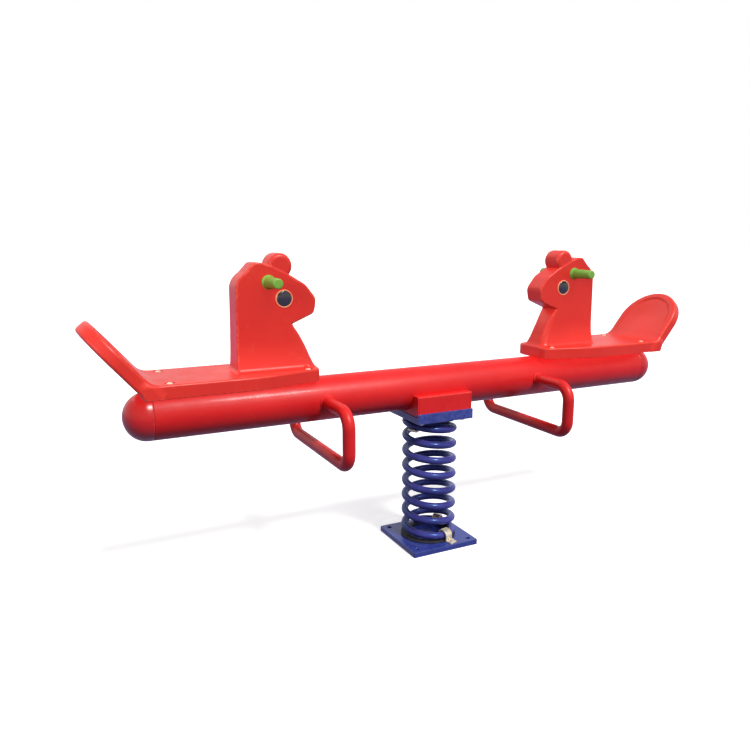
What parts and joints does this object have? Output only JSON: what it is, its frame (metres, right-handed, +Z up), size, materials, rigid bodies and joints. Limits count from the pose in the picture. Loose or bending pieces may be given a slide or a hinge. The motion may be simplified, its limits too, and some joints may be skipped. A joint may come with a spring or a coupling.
{
  "type": "spring seesaw",
  "caption": "Playground spring seesaw: moulded animal seats with grips on a round beam that rocks on one coil spring over an anchored base plate.",
  "frame": {"origin": "centre of the base plate's underside, on the ground", "axes": "+X along the beam, +Y across it, +Z up"},
  "size_m": [2.1826, 0.496, 0.995],
  "materials": {
    "red_paint": "gloss powder coat",
    "cap_plastic": "satin moulded cap",
    "seat_plastic": "satin rotomoulded polyethylene",
    "blue_paint": "gloss powder coat",
    "spring_paint": "gloss powder coat",
    "ring_rubber": "matte",
    "zinc": "yellow zinc plate",
    "grip_green": "satin moulded grip",
    "eye_plastic": "gloss"
  },
  "bodies": {
    "base": {"base_plate": "blue_paint", "lower_clip_bolt_1": "zinc", "lower_clip_bolt_2": "zinc", "lower_spring_clip_1": "zinc", "lower_spring_clip_2": "zinc", "lower_spring_ring": "ring_rubber", "spring": "spring_paint"},
    "beam": {"beam_tube": "red_paint", "end_cap_left": "cap_plastic", "end_cap_right": "cap_plastic", "eye_a_left": "eye_plastic", "eye_a_right": "eye_plastic", "eye_b_left": "eye_plastic", "eye_b_right": "eye_plastic", "foot_loop_left": "red_paint", "foot_loop_right": "red_paint", "grip_a_left": "grip_green", "grip_a_right": "grip_green", "grip_b_left": "grip_green", "grip_b_right": "grip_green", "handlebar_left": "zinc", "handlebar_right": "zinc", "saddle_bolt_1": "zinc", "saddle_bolt_2": "zinc", "saddle_bolt_3": "zinc", "saddle_bolt_4": "zinc", "saddle_channel": "red_paint", "saddle_end_left": "red_paint", "saddle_end_right": "red_paint", "saddle_nut_1": "zinc", "saddle_nut_2": "zinc", "saddle_nut_3": "zinc", "saddle_nut_4": "zinc", "seat_bar_front_left": "red_paint", "seat_bar_front_right": "red_paint", "seat_bar_rear_left": "red_paint", "seat_bar_rear_right": "red_paint", "seat_bolt_front_a_left": "zinc", "seat_bolt_front_a_right": "zinc", "seat_bolt_front_b_left": "zinc", "seat_bolt_front_b_right": "zinc", "seat_bolt_rear_a_left": "zinc", "seat_bolt_rear_a_right": "zinc", "seat_bolt_rear_b_left": "zinc", "seat_bolt_rear_b_right": "zinc", "seat_left": "seat_plastic", "seat_right": "seat_plastic", "top_plate": "blue_paint", "upper_clip_bolt_1": "zinc", "upper_clip_bolt_2": "zinc", "upper_clip_bolt_3": "zinc", "upper_spring_clip_1": "zinc", "upper_spring_clip_2": "zinc", "upper_spring_clip_3": "zinc", "upper_spring_ring": "ring_rubber"}
  },
  "joints": [
    {"name": "rock", "type": "hinge", "parent": "base", "child": "beam", "pos_m": [0, 0, 0.2325], "axis": [0, 1, 0], "range_deg": [-15, 15], "stiffness_Nm_per_rad": 1100, "deforming": ["spring"]}
  ]
}
